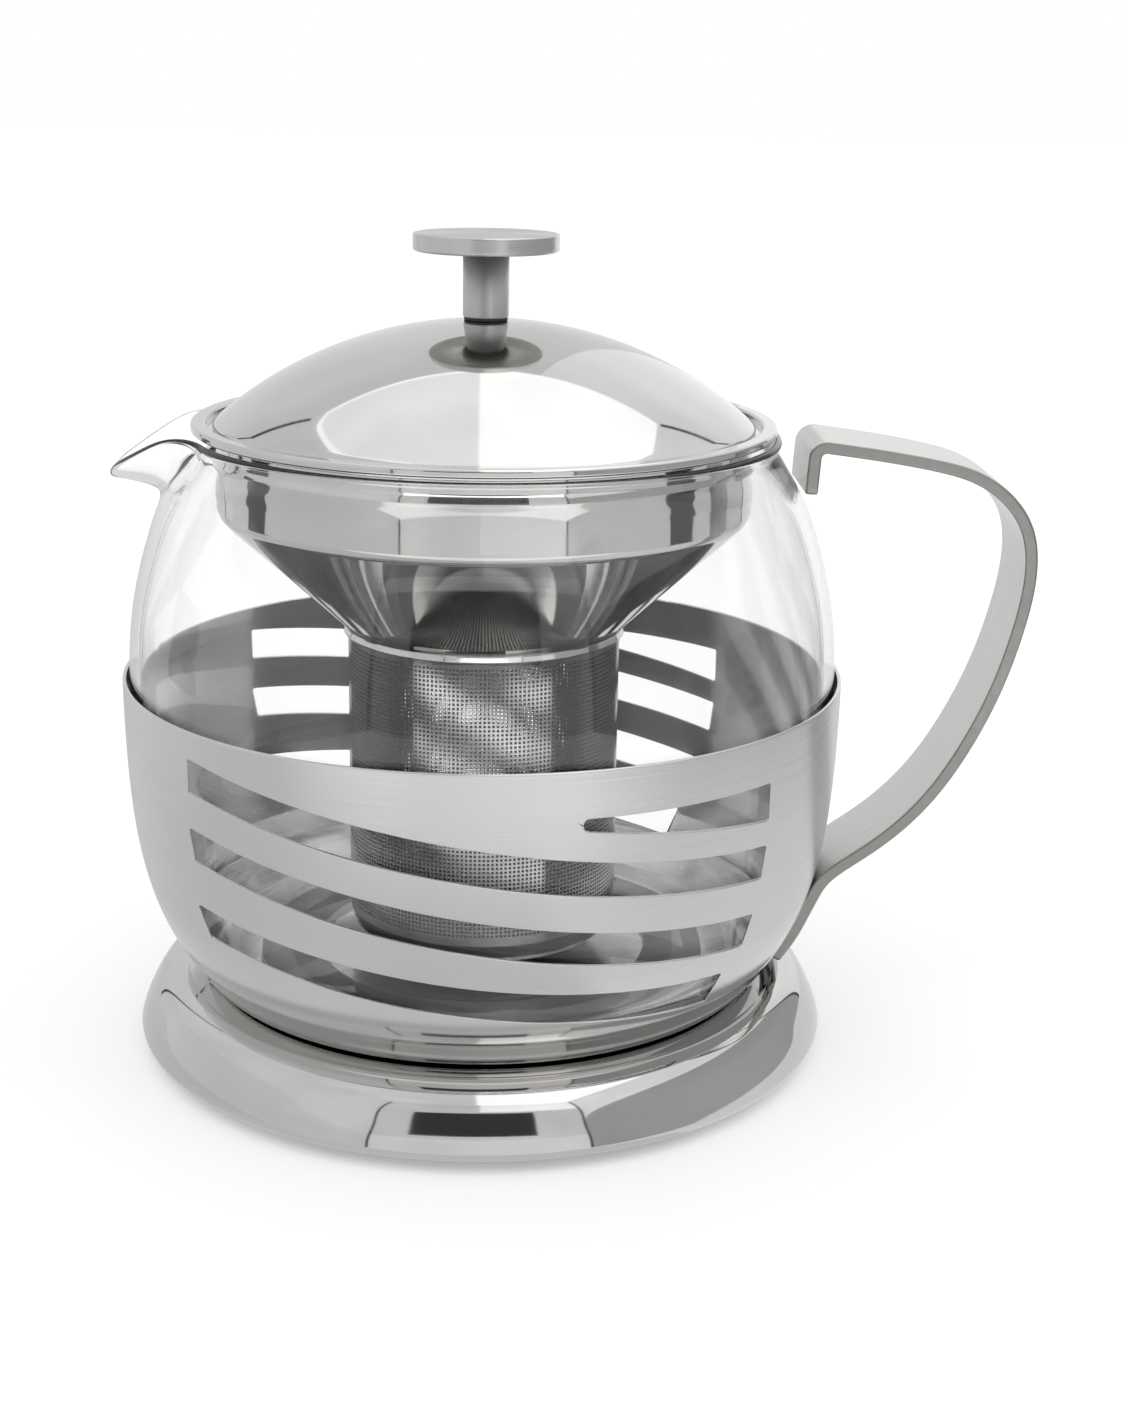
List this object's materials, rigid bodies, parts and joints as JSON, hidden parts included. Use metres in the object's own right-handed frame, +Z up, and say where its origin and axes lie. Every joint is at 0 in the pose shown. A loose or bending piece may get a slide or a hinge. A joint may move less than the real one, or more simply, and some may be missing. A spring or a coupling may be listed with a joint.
{
  "type": "teapot infuser",
  "caption": "Glass teapot in a slotted steel casing with a strap handle, a lift-out perforated infuser, a domed lid with a disc knob, and a round coaster.",
  "frame": {"origin": "on the pot's axis at the underside of the coaster's pad", "axes": "+X from the pot's axis towards the handle, so the spout is at -X; +Z up along the pot's axis; +Y makes the frame right-handed"},
  "size_m": [0.183, 0.1444, 0.1636],
  "materials": {
    "steel_polished": "mirror polished",
    "steel_satin": "satin, brushed round the pot",
    "steel_mesh": "perforated sheet, semi-polished",
    "steel_turned": "fine turned",
    "clear_glass": "clear and smooth",
    "silicone": "translucent white silicone, matte",
    "rubber_dark": "matte black"
  },
  "bodies": {
    "coaster": {"coaster": "steel_polished", "coaster_pad": "rubber_dark"},
    "pot": {"casing": "steel_satin", "handle": "steel_satin", "glass_pot": "clear_glass", "glass_cushion": "silicone"},
    "infuser": {"infuser_rim": "steel_polished", "infuser_funnel": "steel_polished", "infuser_mesh": "steel_mesh", "infuser_cup": "steel_polished"},
    "lid": {"lid_dome": "steel_polished", "lid_skirt": "steel_polished", "knob_gasket": "rubber_dark", "knob_stem": "steel_turned", "knob_disc": "steel_turned", "lid_washer": "steel_polished", "lid_screw": "steel_polished"}
  },
  "joints": [
    {"name": "pot_lift", "type": "slide", "parent": "coaster", "child": "pot", "axis": [0, 0, 1], "range_m": [0, 0.04]},
    {"name": "infuser_lift", "type": "slide", "parent": "pot", "child": "infuser", "axis": [0, 0, 1], "range_m": [0, 0.115]},
    {"name": "lid_lift", "type": "slide", "parent": "infuser", "child": "lid", "axis": [0, 0, 1], "range_m": [0, 0.045]}
  ]
}
